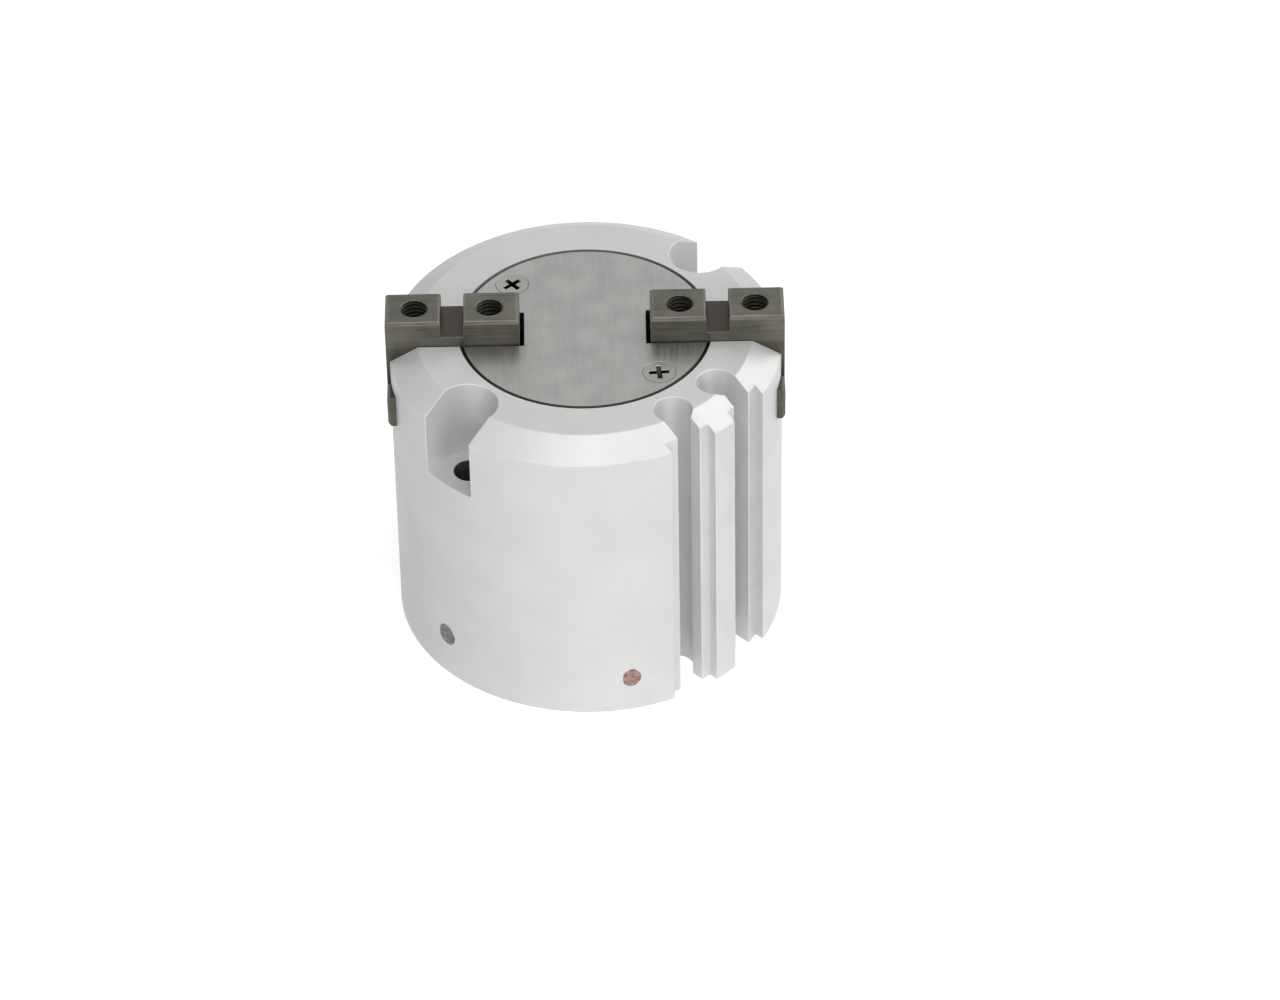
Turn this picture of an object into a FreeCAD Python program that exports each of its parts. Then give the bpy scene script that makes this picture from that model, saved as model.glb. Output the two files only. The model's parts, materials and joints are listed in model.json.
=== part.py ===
import FreeCAD, Part
import math
import os

# Two-finger parallel air gripper with a round body. Millimetres, +Z up, origin at the centre
# of the mounting face. The fingers slide along X and are shown closed, with the piston down.

# Motion: the piston rises by its stroke while each finger moves outward by its travel.
stroke = 4.5
finger_travel = 3.0

# Body: a cylinder with a shallow cone round its top face and a small bevel at its foot.
body_r = 21.0
body_height = 36.3
cone_radial = 3.0
cone_axial = 1.85
base_chamfer = 0.15

# Cylinder bore, from the mounting face upward.
bore_r = 12.5
pilot_step = 0.5
pilot_depth = 1.5
pilot_edge = 0.2
ring_shoulder = 0.8
ring_groove_depth = 0.9
ring_groove_width = 1.3
ring_gap = 0.1
ring_band = 2.2
ring_ear_r = 1.7
ring_ear_hole_r = 0.65
ring_mouth_deg = 26.0
cap_thickness = 3.8
cap_step_depth = 1.5
cap_step_height = 0.8
cap_groove_depth = 1.25
cap_groove_width = 1.7
bumper_thickness = 0.8
bumper_rod_gap = 1.7
bumper_edge = 0.6
fit_gap = 0.05

# Piston and what it carries.
piston_height = 6.6
piston_gap = 0.1
wear_groove_depth = 0.9
wear_groove_width = 1.2
seal_groove_depth = 1.9
seal_groove_width = 1.8
piston_land = 0.6
magnet_band = 2.9
magnet_height = 1.3
magnet_edge = 0.6
seal_gap = 0.03
rod_r = 4.0
rod_seat_depth = 1.2
gasket_thickness = 0.6
bolt_r = 2.0
bolt_head_r = 3.5
bolt_head_height = 2.7
bolt_head_sink = 0.3
bolt_socket_r = 1.45
bolt_socket_depth = 1.4
bolt_gap = 0.1
thread_gap = 0.02
stop_gap = 0.05
rod_groove_depth = 1.4
rod_groove_width = 1.6

# Wedge cam with an inclined T-slot on each side.
cam_height = 7.0
cam_side_gap = 0.2
cam_head_gap = 0.3
cam_floor_gap = 0.2
tongue_neck_half = 1.6
tongue_head_half = 3.0
tongue_neck_depth = 1.2
tongue_head_depth = 1.4
tongue_gap = 0.05
hook_gap = 0.8
face_gap = 0.1
spigot_r = 3.0
spigot_height = 0.8
bolt_engagement = 5.0

# Fingers and the T-slots that guide them.
roof_thickness = 4.7
foot_slot_height = 3.9
foot_half = 5.5
neck_half = 2.7
slide_gap = 0.05
finger_proud = 3.1
finger_end_proud = 0.2
finger_inner_x = 6.95
finger_edge = 0.3
foot_edge = 0.3
head_inset = 0.8
head_wall = 1.2
head_drop = 2.0
jaw_hole_inset = 3.15
jaw_hole_spacing = 8.0
jaw_hole_r = 1.25
jaw_hole_depth = 6.0
jaw_hole_mouth = 0.3
keyway_width = 2.4
keyway_depth = 1.9
keyway_edge = 0.2
pocket_corner = 1.5
pocket_side_gap = 0.05
pocket_end_gap = 0.3

# End plate and its two countersunk screws.
plate_r = 13.4
plate_gap = 0.1
plate_thickness = 1.5
plate_edge = 0.15
recess_edge = 0.15
plate_slot_gap = 0.15
plate_slot_clear = 0.45
screw_circle_r = 11.0
screw_azimuths = (135.0, -45.0)
screw_r = 1.0
screw_head_r = 1.8
screw_length = 4.6
screw_tap_extra = 0.6
screw_turns = (40.0, 5.0)
cross_length = 2.2
cross_root = 0.7
cross_width = 0.5
cross_depth = 0.8
screw_gap = 0.02

# Mounting holes with counterbores that are open to the side of the body.
mount_inset = 3.4
mount_azimuths = (-135.0, 45.0)
mount_hole_r = 1.7
counterbore_r = 3.25
counterbore_depth = 9.1

# Position-switch grooves: a pair of round-bottomed slots with a T-headed rib between. Each slot's
# mouth opens in a shallow recess, which leaves a sunk land on both sides of it.
groove_azimuth = -46.0
groove_inset = 4.6
groove_r = 2.05
groove_mouth = 2.7
groove_rib_land = 1.1
groove_outer_land = 1.5
groove_land_depth = 1.1
rib_crest_half = 1.45

# Air ports on the side away from the grooves.
port_azimuth = 135.0
port_r = 2.1
port_depth = 4.6
port_face_r = 4.0
port_face_depth = 0.45
port_mouth = 0.4
feed_r = 0.75
feed_margin = 0.1

# Levels measured up from the mounting face.
ring_groove_z = pilot_depth + ring_shoulder
cap_z = ring_groove_z + ring_groove_width
cap_top = cap_z + cap_thickness
piston_z = cap_top + bumper_thickness
piston_top = piston_z + piston_height
rod_bumper_z = piston_top + stroke + stop_gap
bore_top = rod_bumper_z + bumper_thickness

# Levels measured down from the top face.
plate_z = body_height - plate_thickness
slot_roof = body_height - roof_thickness
slot_floor = slot_roof - foot_slot_height
finger_top = body_height + finger_proud
cam_top = plate_z - cam_head_gap - stroke
cam_z = cam_top - cam_height
pocket_floor = cam_z - cam_floor_gap

# Slope of the cam faces, and how far a step square to a face moves along X.
slope = finger_travel / stroke
slant = math.sqrt(1.0 + slope * slope)

finger_end_x = body_r + finger_end_proud
foot_top = slot_roof - slide_gap
foot_z = slot_floor + slide_gap
head_z = slot_floor - head_drop
head_half = foot_half - head_inset
tongue_tip = tongue_neck_depth + tongue_head_depth - tongue_gap
cam_half_width = foot_half - cam_side_gap
cam_top_half = hook_gap / 2 + tongue_tip * slant + (foot_top - cam_top) * slope
head_outer_x = cam_top_half + (cam_top - head_z) * slope + face_gap * slant + head_wall
pocket_half_length = head_outer_x + finger_travel + pocket_end_gap
pocket_half_width = foot_half + pocket_side_gap
plate_recess_r = plate_r + plate_gap
pilot_r = bore_r + pilot_step
mount_circle_r = body_r - mount_inset
rod_seat_z = piston_top - rod_seat_depth
bolt_seat_z = piston_z + bolt_head_sink + bolt_head_height
bolt_tip_z = cam_z + bolt_engagement
through = 2.0


def polar(radius, azimuth, z):
    """Point at a radius and an azimuth in degrees, counted from +X towards +Y."""
    angle = math.radians(azimuth)
    return FreeCAD.Vector(radius * math.cos(angle), radius * math.sin(angle), z)


def face_of(points):
    """Flat face inside a closed outline of corner points."""
    return Part.Face(Part.makePolygon(points + [points[0]]))


def turned(profile):
    """Solid turned about Z from a closed (radius, height) outline."""
    face = face_of([FreeCAD.Vector(r, 0, z) for r, z in profile])
    return face.revolve(FreeCAD.Vector(0, 0, 0), FreeCAD.Vector(0, 0, 1), 360)


def disc(radius, z_low, z_high, centre=FreeCAD.Vector(0, 0, 0)):
    """Upright cylinder between two heights."""
    return Part.makeCylinder(radius, z_high - z_low, FreeCAD.Vector(centre.x, centre.y, z_low))


def ring(outer_r, inner_r, z_low, z_high):
    """Plain turned ring with a square section."""
    return disc(outer_r, z_low, z_high).cut(disc(inner_r, z_low, z_high))


def bevelled_ring(outer_r, inner_r, z_low, z_high, edge):
    """Turned ring with all four corners of its section cut back."""
    return turned([
        (inner_r + edge, z_low), (outer_r - edge, z_low), (outer_r, z_low + edge),
        (outer_r, z_high - edge), (outer_r - edge, z_high), (inner_r + edge, z_high),
        (inner_r, z_high - edge), (inner_r, z_low + edge)])


def block(x_low, x_high, half_width, z_low, z_high):
    """Box centred across Y."""
    corner = FreeCAD.Vector(x_low, -half_width, z_low)
    return Part.makeBox(x_high - x_low, 2 * half_width, z_high - z_low, corner)


def slab(outline, half_width):
    """(x, z) outline carried across the width, centred on Y."""
    face = face_of([FreeCAD.Vector(x, -half_width, z) for x, z in outline])
    return face.extrude(FreeCAD.Vector(0, 2 * half_width, 0))


def hex_prism(corner_r, z_low, z_high):
    """Upright hexagonal prism on the Z axis, for the bolt's socket."""
    face = face_of([polar(corner_r, 60 * i, z_low) for i in range(6)])
    return face.extrude(FreeCAD.Vector(0, 0, z_high - z_low))


def half_turn(shape):
    """The same piece turned half round about Z, for the other side."""
    other = shape.copy()
    other.rotate(FreeCAD.Vector(0, 0, 0), FreeCAD.Vector(0, 0, 1), 180)
    return other


def cam_face_x(z):
    """Half-width of the wedge at a height: it narrows upward by the slope."""
    return cam_top_half + (cam_top - z) * slope


def sloped_slab(inner, outer, z_low, z_high, half_width):
    """Slab parallel to the cam face, between two distances square to that face."""
    return slab([
        (cam_face_x(z_low) + inner * slant, z_low), (cam_face_x(z_low) + outer * slant, z_low),
        (cam_face_x(z_high) + outer * slant, z_high), (cam_face_x(z_high) + inner * slant, z_high)],
        half_width)


def switch_groove(side):
    """Full-height slot on one side of the rib: its arc meets the far wall of the mouth smoothly."""
    near = side * (rib_crest_half + groove_rib_land)
    far = near + side * groove_mouth
    bottom_x = body_r - groove_inset
    bottom_y = far - side * groove_r
    join_x = bottom_x + math.sqrt(groove_r ** 2 - (bottom_y - near) ** 2)
    out_x = body_r + through
    join = FreeCAD.Vector(join_x, near, -through)
    tangent = FreeCAD.Vector(bottom_x, far, -through)
    deepest = FreeCAD.Vector(bottom_x - groove_r, bottom_y, -through)
    rim = [join, FreeCAD.Vector(out_x, near, -through), FreeCAD.Vector(out_x, far, -through), tangent]
    edges = [Part.LineSegment(a, b).toShape() for a, b in zip(rim, rim[1:])]
    edges.append(Part.Arc(tangent, deepest, join).toShape())
    height = body_height + 2 * through
    slot = Part.Face(Part.Wire(edges)).extrude(FreeCAD.Vector(0, 0, height))
    recess_width = groove_rib_land + groove_mouth + groove_outer_land
    recess_low = min(side * rib_crest_half, far + side * groove_outer_land)
    recess = Part.makeBox(out_x, recess_width, height, FreeCAD.Vector(0, recess_low, -through))
    land_r = body_r - groove_land_depth
    recess = recess.common(ring(out_x + through, land_r, -through, height - through))
    groove = slot.fuse(recess)
    groove.rotate(FreeCAD.Vector(0, 0, 0), FreeCAD.Vector(0, 0, 1), groove_azimuth)
    return groove


def counterbore(azimuth):
    """U-shaped bolt seat, open to the side, with its through hole."""
    floor = body_height - counterbore_depth
    centre = polar(mount_circle_r, azimuth, floor)
    high = body_height + through
    seat = disc(counterbore_r, floor, high, centre)
    channel = Part.makeBox(body_r, 2 * counterbore_r, high - floor,
                           FreeCAD.Vector(mount_circle_r, -counterbore_r, floor))
    channel.rotate(FreeCAD.Vector(0, 0, 0), FreeCAD.Vector(0, 0, 1), azimuth)
    return seat.fuse(channel).fuse(disc(mount_hole_r, -through, high, centre))


def air_port(z):
    """Spot face, tapped hole with a bevelled mouth, and feed drilling inward to the bore."""
    inward = polar(-1, port_azimuth, 0)
    face_r = body_r - port_face_depth
    face = Part.makeCylinder(port_face_r, through, polar(face_r + through, port_azimuth, z), inward)
    mouth = Part.makeCone(port_r + port_mouth, port_r, port_mouth, polar(face_r, port_azimuth, z), inward)
    hole = Part.makeCylinder(port_r, port_depth, polar(face_r, port_azimuth, z), inward)
    feed = Part.makeCylinder(feed_r, face_r - bore_r + feed_r, polar(face_r, port_azimuth, z), inward)
    return face.fuse([mouth, hole, feed])


def cam_pocket():
    """Rounded pocket for the cam and the finger hooks, open at the top."""
    pocket = block(-pocket_half_length, pocket_half_length, pocket_half_width,
                   pocket_floor, body_height + through)
    upright = [e for e in pocket.Edges if abs(e.Vertexes[0].Z - e.Vertexes[1].Z) > plate_thickness]
    return pocket.makeFillet(pocket_corner, upright)


def finger_slot():
    """T-slot right across the body that guides both fingers."""
    reach = body_r + through
    foot = block(-reach, reach, foot_half + slide_gap, slot_floor, slot_roof)
    neck = block(-reach, reach, neck_half + slide_gap, slot_floor, body_height + through)
    return foot.fuse(neck).removeSplitter()


def make_body():
    """Housing: turned outside, T-slots, grooves, bolt seats and ports, then bore and cam pocket."""
    body = turned([
        (0, 0), (body_r - base_chamfer, 0), (body_r, base_chamfer), (body_r, body_height - cone_axial),
        (body_r - cone_radial, body_height), (0, body_height)])
    seal_mid = (bore_top + pocket_floor) / 2
    cuts = [
        turned([(0, -through), (pilot_r + pilot_edge + through, -through), (pilot_r, pilot_edge),
                (pilot_r, pilot_depth), (0, pilot_depth)]),
        disc(bore_r, 0, bore_top),
        disc(bore_r + ring_groove_depth, ring_groove_z, cap_z),
        disc(rod_r + fit_gap, bore_top, pocket_floor + through),
        disc(rod_r + rod_groove_depth, seal_mid - rod_groove_width / 2, seal_mid + rod_groove_width / 2),
        cam_pocket(),
        finger_slot(),
        turned([(0, plate_z), (plate_recess_r, plate_z), (plate_recess_r, body_height - recess_edge),
                (plate_recess_r + recess_edge + through, body_height + through), (0, body_height + through)]),
        air_port(cap_top),
        air_port(bore_top - feed_r - feed_margin)]
    tap_floor = body_height - screw_length - screw_tap_extra
    for azimuth in screw_azimuths:
        cuts.append(disc(screw_r, tap_floor, body_height, polar(screw_circle_r, azimuth, 0)))
    for azimuth in mount_azimuths:
        cuts.append(counterbore(azimuth))
    for side in (-1, 1):
        cuts.append(switch_groove(side))
    return body.cut(cuts).removeSplitter()


def make_end_plate():
    """Flush round plate with a U-slot for each finger and countersunk screw holes."""
    plate = turned([
        (0, plate_z), (plate_r, plate_z), (plate_r, body_height - plate_edge),
        (plate_r - plate_edge, body_height), (0, body_height)])
    slot_x = finger_inner_x - plate_slot_clear
    slot = block(slot_x, plate_r + through, neck_half + plate_slot_gap,
                 plate_z - through, body_height + through)
    cuts = [slot, half_turn(slot)]
    sink = screw_head_r - screw_r
    for azimuth in screw_azimuths:
        centre = polar(screw_circle_r, azimuth, body_height - sink)
        cuts.append(disc(screw_r + screw_gap, plate_z, body_height, centre))
        cuts.append(Part.makeCone(screw_r + screw_gap, screw_head_r + screw_gap, sink, centre))
    return plate.cut(cuts)


def cross_recess():
    """Cross-shaped driver recess, whose wings run in towards their root."""
    floor = body_height - cross_depth
    wing = slab([
        (-cross_root / 2, floor), (cross_root / 2, floor), (cross_length / 2, body_height),
        (cross_length / 2, body_height + through), (-cross_length / 2, body_height + through),
        (-cross_length / 2, body_height)], cross_width / 2)
    other = wing.copy()
    other.rotate(FreeCAD.Vector(0, 0, 0), FreeCAD.Vector(0, 0, 1), 90)
    return wing.fuse(other)


def make_end_plate_screws():
    """Two countersunk cross-recess screws, flush with the plate."""
    sink = screw_head_r - screw_r
    screws = []
    for azimuth, turn in zip(screw_azimuths, screw_turns):
        screw = turned([
            (0, body_height - screw_length), (screw_r - screw_gap, body_height - screw_length),
            (screw_r - screw_gap, body_height - sink), (screw_head_r - screw_gap, body_height),
            (0, body_height)])
        screw = screw.cut(cross_recess())
        screw.rotate(FreeCAD.Vector(0, 0, 0), FreeCAD.Vector(0, 0, 1), turn)
        screw.translate(polar(screw_circle_r, azimuth, 0))
        screws.append(screw)
    return Part.makeCompound(screws)


def make_finger():
    """Right-hand finger: jaw bar, T-foot and the sloped hook that rides in the cam."""
    bar = block(finger_inner_x, finger_end_x, neck_half, (foot_z + foot_top) / 2, finger_top)
    top_edges = [e for e in bar.Edges if min(v.Z for v in e.Vertexes) > body_height]
    bar = bar.makeChamfer(finger_edge, top_edges)
    foot = block(head_outer_x - through, finger_end_x, foot_half, foot_z, foot_top)
    foot_ends = [e for e in foot.Edges if min(v.X for v in e.Vertexes) > head_outer_x]
    foot = foot.makeChamfer(foot_edge, foot_ends)
    head = slab([
        (cam_face_x(head_z) + face_gap * slant, head_z), (head_outer_x, head_z),
        (head_outer_x, foot_top), (cam_face_x(foot_top) + face_gap * slant, foot_top)], head_half)
    neck = sloped_slab(-tongue_tip, 2 * face_gap, head_z, foot_top, tongue_neck_half)
    hook = sloped_slab(-tongue_tip, -tongue_neck_depth - tongue_gap, head_z, foot_top, tongue_head_half)
    finger = bar.fuse([foot, head, neck, hook])
    cuts = []
    key_x = finger_inner_x + jaw_hole_inset + jaw_hole_spacing / 2
    key_half = keyway_width / 2
    lip_half = key_half + keyway_edge + through
    cuts.append(slab([
        (key_x - key_half, finger_top - keyway_depth), (key_x + key_half, finger_top - keyway_depth),
        (key_x + key_half, finger_top - keyway_edge), (key_x + lip_half, finger_top + through),
        (key_x - lip_half, finger_top + through), (key_x - key_half, finger_top - keyway_edge)], foot_half))
    for step in (0, jaw_hole_spacing):
        centre = FreeCAD.Vector(finger_inner_x + jaw_hole_inset + step, 0, finger_top - jaw_hole_mouth)
        cuts.append(disc(jaw_hole_r, finger_top - jaw_hole_depth, finger_top + through, centre))
        cuts.append(Part.makeCone(jaw_hole_r, jaw_hole_r + jaw_hole_mouth, jaw_hole_mouth, centre))
    return finger.cut(cuts).removeSplitter()


def make_wedge_cam():
    """Wedge with a sloping T-slot on each side, a spigot seat and a tapped hole below."""
    cam = slab([
        (-cam_face_x(cam_z), cam_z), (cam_face_x(cam_z), cam_z),
        (cam_face_x(cam_top), cam_top), (-cam_face_x(cam_top), cam_top)], cam_half_width)
    low = cam_z - through
    high = cam_top + through
    slot_depth = tongue_neck_depth + tongue_head_depth
    neck = sloped_slab(-slot_depth, through, low, high, tongue_neck_half + tongue_gap)
    hook = sloped_slab(-slot_depth, -tongue_neck_depth, low, high, tongue_head_half + tongue_gap)
    slot = neck.fuse(hook)
    seat = disc(spigot_r + thread_gap, cam_z, cam_z + spigot_height)
    tap = disc(bolt_r + thread_gap, cam_z, bolt_tip_z)
    return cam.cut([slot, half_turn(slot), seat, tap]).removeSplitter()


def make_piston():
    """Aluminium piston: ring grooves, magnet seat, rod seat and a sunk bolt seat."""
    r = bore_r - piston_gap
    wear_z = piston_z + piston_land
    seal_z = wear_z + wear_groove_width + piston_land
    shelf_z = piston_top - magnet_height - magnet_edge
    piston = disc(r, piston_z, shelf_z).fuse(disc(r - magnet_band, piston_z, piston_top))
    return piston.cut([
        ring(bore_r, bore_r - wear_groove_depth, wear_z, wear_z + wear_groove_width),
        ring(bore_r, bore_r - seal_groove_depth, seal_z, seal_z + seal_groove_width),
        disc(bolt_head_r + bolt_gap, piston_z, bolt_seat_z),
        disc(bolt_r + bolt_gap, piston_z, piston_top),
        disc(rod_r + thread_gap, rod_seat_z - gasket_thickness, piston_top)]).removeSplitter()


def make_wear_ring():
    """Plastic guide ring in the piston's lower groove."""
    z = piston_z + piston_land
    return ring(bore_r - seal_gap, bore_r - wear_groove_depth + seal_gap,
                z + seal_gap, z + wear_groove_width - seal_gap)


def make_piston_seal():
    """Rubber ring in the piston's upper groove, with bevelled lips."""
    z = piston_z + 2 * piston_land + wear_groove_width
    return bevelled_ring(bore_r - seal_gap, bore_r - seal_groove_depth + seal_gap,
                         z + seal_gap, z + seal_groove_width - seal_gap, seal_groove_width / 4)


def make_magnet():
    """Ring magnet on the piston's shelf."""
    r = bore_r - piston_gap
    z = piston_top - magnet_height - magnet_edge
    return ring(r - seal_gap, r - magnet_band + seal_gap, z, z + magnet_height)


def make_magnet_holder():
    """Thin ring that keeps the magnet on its shelf."""
    r = bore_r - piston_gap
    return ring(r, r - magnet_band + seal_gap, piston_top - magnet_edge, piston_top)


def make_piston_rod():
    """Hollow rod from the piston's seat to a spigot in the cam."""
    rod = disc(rod_r, rod_seat_z, cam_z).fuse(disc(spigot_r, cam_z, cam_z + spigot_height))
    return rod.cut(disc(bolt_r + bolt_gap, rod_seat_z, cam_z + spigot_height)).removeSplitter()


def make_rod_gasket():
    """Flat sealing ring under the rod."""
    return ring(rod_r - seal_gap, bolt_r + bolt_gap, rod_seat_z - gasket_thickness, rod_seat_z)


def make_piston_bolt():
    """Low-head socket bolt that clamps piston and rod to the cam."""
    head_z = bolt_seat_z - bolt_head_height
    bolt = disc(bolt_head_r, head_z, bolt_seat_z).fuse(disc(bolt_r, bolt_seat_z, bolt_tip_z - fit_gap))
    return bolt.cut(hex_prism(bolt_socket_r, head_z - through, head_z + bolt_socket_depth))


def make_rod_seal():
    """Rubber ring in the wall that the rod passes through."""
    mid = (bore_top + pocket_floor) / 2
    half = rod_groove_width / 2 - seal_gap
    return bevelled_ring(rod_r + rod_groove_depth - seal_gap, rod_r + seal_gap,
                         mid - half, mid + half, rod_groove_width / 4)


def make_bumper(z_low):
    """Rubber stop ring for the middle of the piston's face."""
    outer_r = bore_r - piston_gap - magnet_band - bumper_edge
    return ring(outer_r, rod_r + bumper_rod_gap, z_low, z_low + bumper_thickness)


def make_end_cap():
    """Lower cover: stepped rim for the air, and a groove for its O-ring."""
    r = bore_r - fit_gap
    groove_mid = (cap_z + cap_top - cap_step_height) / 2
    groove_low = groove_mid - cap_groove_width / 2
    groove_high = groove_mid + cap_groove_width / 2
    return turned([
        (0, cap_z), (r, cap_z), (r, groove_low), (r - cap_groove_depth, groove_low),
        (r - cap_groove_depth, groove_high), (r, groove_high), (r, cap_top - cap_step_height),
        (r - cap_step_depth, cap_top - cap_step_height), (r - cap_step_depth, cap_top), (0, cap_top)])


def make_cap_seal():
    """O-ring between the lower cover and the bore."""
    mid = (cap_z + cap_top - cap_step_height) / 2
    groove_r = bore_r - fit_gap - cap_groove_depth
    section_r = (bore_r - groove_r) / 2 - fit_gap
    return Part.makeTorus((bore_r + groove_r) / 2, section_r, FreeCAD.Vector(0, 0, mid))


def make_retaining_ring():
    """Internal snap ring: an open band with two drilled ears at its mouth."""
    low = ring_groove_z + ring_gap
    outer_r = bore_r + ring_groove_depth - ring_gap
    ear_r = outer_r - ring_ear_r - ring_groove_depth
    band = ring(outer_r, outer_r - ring_band, low, cap_z)
    half_mouth = ring_mouth_deg / 2
    mouth = face_of([FreeCAD.Vector(0, 0, low), polar(2 * body_r, 90 - half_mouth, low),
                     polar(2 * body_r, 90 + half_mouth, low)])
    band = band.cut(mouth.extrude(FreeCAD.Vector(0, 0, ring_groove_width)))
    ears = []
    holes = []
    for side in (-1, 1):
        centre = polar(ear_r, 90 + side * (half_mouth + math.degrees(ring_ear_r / ear_r)), 0)
        ears.append(disc(ring_ear_r, low, cap_z, centre))
        holes.append(disc(ring_ear_hole_r, low, cap_z, centre))
    return band.fuse(ears).cut(holes).removeSplitter()


finger_right = make_finger()
pieces = {
    "body": make_body(),
    "end_plate": make_end_plate(),
    "end_plate_screws": make_end_plate_screws(),
    "finger_left": half_turn(finger_right),
    "finger_right": finger_right,
    "wedge_cam": make_wedge_cam(),
    "piston_rod": make_piston_rod(),
    "rod_gasket": make_rod_gasket(),
    "piston": make_piston(),
    "piston_bolt": make_piston_bolt(),
    "piston_seal": make_piston_seal(),
    "wear_ring": make_wear_ring(),
    "magnet": make_magnet(),
    "magnet_holder": make_magnet_holder(),
    "rod_seal": make_rod_seal(),
    "rod_side_bumper": make_bumper(rod_bumper_z),
    "head_side_bumper": make_bumper(cap_top),
    "end_cap": make_end_cap(),
    "cap_seal": make_cap_seal(),
    "retaining_ring": make_retaining_ring(),
}

os.makedirs("parts", exist_ok=True)
for name, shape in pieces.items():
    shape.exportStep("parts/" + name + ".step")
    print(name, len(shape.Solids), shape.isValid(), round(shape.Volume, 2))
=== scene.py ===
import json
import math

import bmesh
import bpy
import numpy as np
from mathutils import Matrix, Vector

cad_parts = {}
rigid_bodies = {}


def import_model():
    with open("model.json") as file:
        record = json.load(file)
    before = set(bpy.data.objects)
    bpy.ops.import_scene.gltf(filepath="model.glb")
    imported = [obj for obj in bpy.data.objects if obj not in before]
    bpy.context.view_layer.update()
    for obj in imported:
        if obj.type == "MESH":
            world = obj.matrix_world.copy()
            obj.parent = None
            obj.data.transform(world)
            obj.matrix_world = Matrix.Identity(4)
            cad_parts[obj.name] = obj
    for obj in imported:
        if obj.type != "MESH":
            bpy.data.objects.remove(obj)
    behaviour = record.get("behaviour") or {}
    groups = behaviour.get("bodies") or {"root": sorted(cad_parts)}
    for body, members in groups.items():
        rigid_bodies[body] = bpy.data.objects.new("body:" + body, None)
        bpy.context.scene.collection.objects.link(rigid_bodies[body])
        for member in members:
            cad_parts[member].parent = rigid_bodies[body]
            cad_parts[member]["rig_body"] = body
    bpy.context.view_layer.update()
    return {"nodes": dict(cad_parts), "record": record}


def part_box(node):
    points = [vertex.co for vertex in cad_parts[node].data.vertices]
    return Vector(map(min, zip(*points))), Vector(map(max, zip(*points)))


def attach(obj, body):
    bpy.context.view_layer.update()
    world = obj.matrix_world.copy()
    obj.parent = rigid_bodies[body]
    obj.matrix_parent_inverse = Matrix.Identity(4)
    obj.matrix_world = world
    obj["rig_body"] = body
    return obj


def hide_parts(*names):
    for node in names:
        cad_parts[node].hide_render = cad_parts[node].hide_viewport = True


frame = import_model()

# Body. The housing that carries everything else: round aluminium bar, turned and milled, then bead
# blasted and clear anodised. Blasting leaves every machined edge a little round.
mm = 0.001
scene = bpy.context.scene
blasted_edge = 0.1 * mm
edge_rows = 3
round_profile = 0.5
least_strips = 2.2
flat_turn = math.radians(0.3)
least_turn = math.radians(27)
smooth_turn = math.radians(35)
merge_reach = 1e-4 * mm
wall_slack = 0.01 * mm
port_tap_r = 2.5 * mm
tap_clearance = 0.03 * mm
hole_margin = 0.5 * mm

# A Mix node has several sockets of each name, so those for colours go by their numbers. Noise stays near
# the middle of 0 to 1: nearly all of it lies in the span, and most of it in the core.
mix_share, mix_from, mix_to, mix_out = 0, 6, 7, 2
noise_core = {"From Min": 0.35, "From Max": 0.65}
noise_span = {"From Min": 0.3, "From Max": 0.7}


def linear(hex_colour):
    """Linear RGBA of an sRGB hex colour.

    Each channel c becomes ((c + 0.055) / 1.055) ** 2.4, or c / 12.92 where it is nearly black."""
    srgb = np.array([int(hex_colour[i:i + 2], 16) for i in (1, 3, 5)]) / 255
    rgb = np.where(srgb > 0.04045, ((srgb + 0.055) / 1.055) ** 2.4, srgb / 12.92)
    return (*rgb.tolist(), 1.0)


def add_node(tree, kind, inputs, **settings):
    """Adds a node with its settings, and fills its inputs with values or with links from other nodes."""
    node = tree.nodes.new(kind)
    for name, value in settings.items():
        setattr(node, name, value)
    for name, value in inputs.items():
        if isinstance(value, bpy.types.NodeSocket):
            tree.links.new(value, node.inputs[name])
        else:
            node.inputs[name].default_value = value
    return node


def start_material(name, **sockets):
    """New material: its tree, its shader with plain values on its own sockets, and Object coordinates."""
    material = bpy.data.materials.new(name)
    material.use_nodes = True
    tree = material.node_tree
    shader = tree.nodes["Principled BSDF"]
    for socket, value in sockets.items():
        shader.inputs[socket.replace("_", " ")].default_value = value
    place = add_node(tree, "ShaderNodeTexCoord", {}).outputs["Object"]
    return material, tree, shader, place


def opened(mesh, hole, new_r):
    """Moves the wall of a drilled hole out to a new radius, keeping each point's depth and direction."""
    centre, axis = np.array(hole["centre"]), np.array(hole["axis"])
    flat = np.empty(len(mesh.vertices) * 3)
    mesh.vertices.foreach_get("co", flat)
    points = flat.reshape(-1, 3)
    depth = (points - centre) @ axis
    foot = centre + depth[:, None] * axis
    radius = np.linalg.norm(points - foot, axis=1)
    wall = (np.abs(radius - hole["r"]) < wall_slack) & (np.abs(depth) < hole["reach"])
    points[wall] = foot[wall] + (points[wall] - foot[wall]) * (new_r / hole["r"])
    mesh.vertices.foreach_set("co", flat)


def has_room(face, edge, radius):
    """Whether a face can give up a strip along an edge.

    It can where it is wide enough for a strip on either side, or runs on flat past another edge."""
    runs_on = any(side.calc_face_angle(math.pi) < flat_turn for side in face.edges if side != edge)
    return runs_on or face.calc_area() > least_strips * radius * edge.calc_length()


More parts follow.
